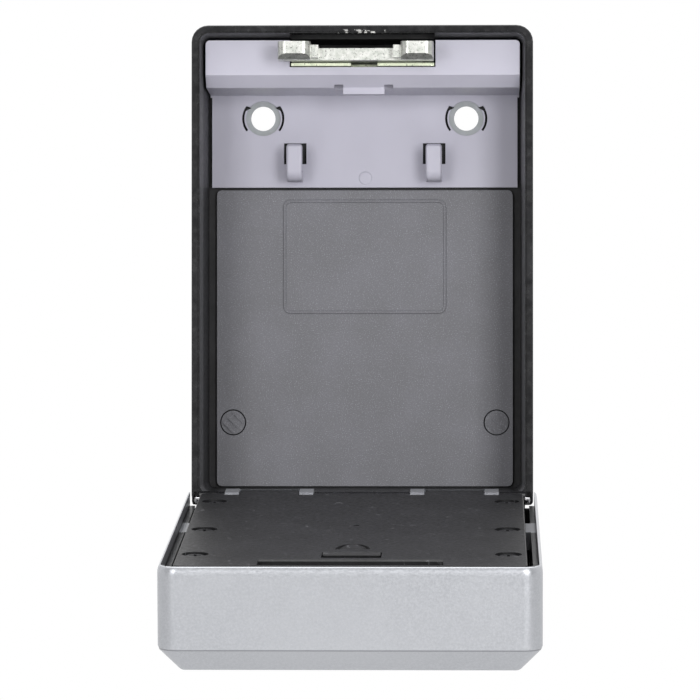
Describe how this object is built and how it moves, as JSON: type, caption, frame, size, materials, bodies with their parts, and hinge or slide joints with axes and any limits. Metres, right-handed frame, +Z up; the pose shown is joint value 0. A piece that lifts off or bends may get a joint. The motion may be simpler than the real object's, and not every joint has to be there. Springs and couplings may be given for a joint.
{
  "type": "key lock box",
  "caption": "Wall-mounted combination key safe, door hinged down: dark rear housing with pale hook panel and steel strike, silver door with number dials under a sliding cover.",
  "frame": {"origin": "middle of the rear housing's flat back, where it meets the wall", "axes": "+Z up, +X to the right seen from the front, +Y into the wall; the door opens towards -Y"},
  "size_m": [0.105, 0.1779, 0.1857],
  "materials": {
    "housing_black": "glossy black die-cast",
    "panel_grey": "satin light grey moulded plastic",
    "plate_black": "fine textured black plastic",
    "zinc_steel": "bright zinc plate",
    "passivated_steel": "yellow-green passivated zinc",
    "pin_steel": "drawn steel rod",
    "silver_paint": "satin silver paint on die-cast zinc",
    "bezel_black": "fine textured black plastic",
    "dial_metal": "satin nickel",
    "lock_zinc": "raw zinc die-cast",
    "screw_black": "black oxide",
    "spring_steel": "bright spring steel"
  },
  "bodies": {
    "housing": {"rear_housing": "housing_black", "hook_panel": "panel_grey", "back_plate": "plate_black", "knockout_plug_left": "plate_black", "knockout_plug_right": "plate_black", "strike": "zinc_steel", "strike_bracket": "passivated_steel", "strike_rivet_left": "zinc_steel", "strike_rivet_right": "zinc_steel", "bracket_screw_left": "zinc_steel", "bracket_screw_right": "zinc_steel", "hinge_pin": "pin_steel"},
    "door": {"door_shell": "silver_paint", "door_cover_plate": "plate_black", "cover_screw_left_1": "screw_black", "cover_screw_left_2": "screw_black", "cover_screw_left_3": "screw_black", "cover_screw_right_1": "screw_black", "cover_screw_right_2": "screw_black", "cover_screw_right_3": "screw_black", "front_bezel": "bezel_black", "lock_frame": "lock_zinc", "frame_screw_left_1": "zinc_steel", "frame_screw_left_2": "zinc_steel", "frame_screw_right_1": "zinc_steel", "frame_screw_right_2": "zinc_steel", "dial_axle": "pin_steel", "axle_clip_left": "spring_steel", "axle_clip_right": "spring_steel", "dial_detent_spring": "spring_steel", "bolt_spring_left": "spring_steel", "bolt_spring_right": "spring_steel"},
    "shutter": {"shutter": "bezel_black"},
    "release": {"release_slider": "dial_metal"},
    "bolt": {"lock_bolt": "lock_zinc"},
    "code_slider": {"code_change_slider": "plate_black"},
    "dial_1": {"dial_1": "dial_metal"},
    "dial_2": {"dial_2": "dial_metal"},
    "dial_3": {"dial_3": "dial_metal"},
    "dial_4": {"dial_4": "dial_metal"}
  },
  "joints": [
    {"name": "door_hinge", "type": "hinge", "parent": "housing", "child": "door", "pos_m": [0, -0.035, -0.07055], "axis": [1, 0, 0], "range_deg": [-97, 0]},
    {"name": "shutter_slide", "type": "slide", "parent": "door", "child": "shutter", "axis": [0, 0.9925, 0.1219], "range_m": [0, 0.032]},
    {"name": "release_slide", "type": "slide", "parent": "door", "child": "release", "axis": [0, 0.9925, 0.1219], "range_m": [0, 0.004], "stiffness_N_per_m": 400, "springref_m": -0.003},
    {"name": "bolt_slide", "type": "slide", "parent": "door", "child": "bolt", "axis": [0, 0.9925, 0.1219], "range_m": [0, 0.004], "stiffness_N_per_m": 400, "springref_m": -0.003, "deforming": ["bolt_spring_left", "bolt_spring_right"]},
    {"name": "code_slide", "type": "slide", "parent": "door", "child": "code_slider", "axis": [0, -0.9925, -0.1219], "range_m": [0, 0.0038]},
    {"name": "dial_1_turn", "type": "hinge", "parent": "door", "child": "dial_1", "pos_m": [-0.015, -0.13756, -0.09685], "axis": [1, 0, 0], "continuous": true},
    {"name": "dial_2_turn", "type": "hinge", "parent": "door", "child": "dial_2", "pos_m": [-0.005, -0.13756, -0.09685], "axis": [1, 0, 0], "continuous": true},
    {"name": "dial_3_turn", "type": "hinge", "parent": "door", "child": "dial_3", "pos_m": [0.005, -0.13756, -0.09685], "axis": [1, 0, 0], "continuous": true},
    {"name": "dial_4_turn", "type": "hinge", "parent": "door", "child": "dial_4", "pos_m": [0.015, -0.13756, -0.09685], "axis": [1, 0, 0], "continuous": true}
  ],
  "couplings": [
    {"joint": "bolt_slide", "follows": "release_slide", "ratio": 1}
  ]
}
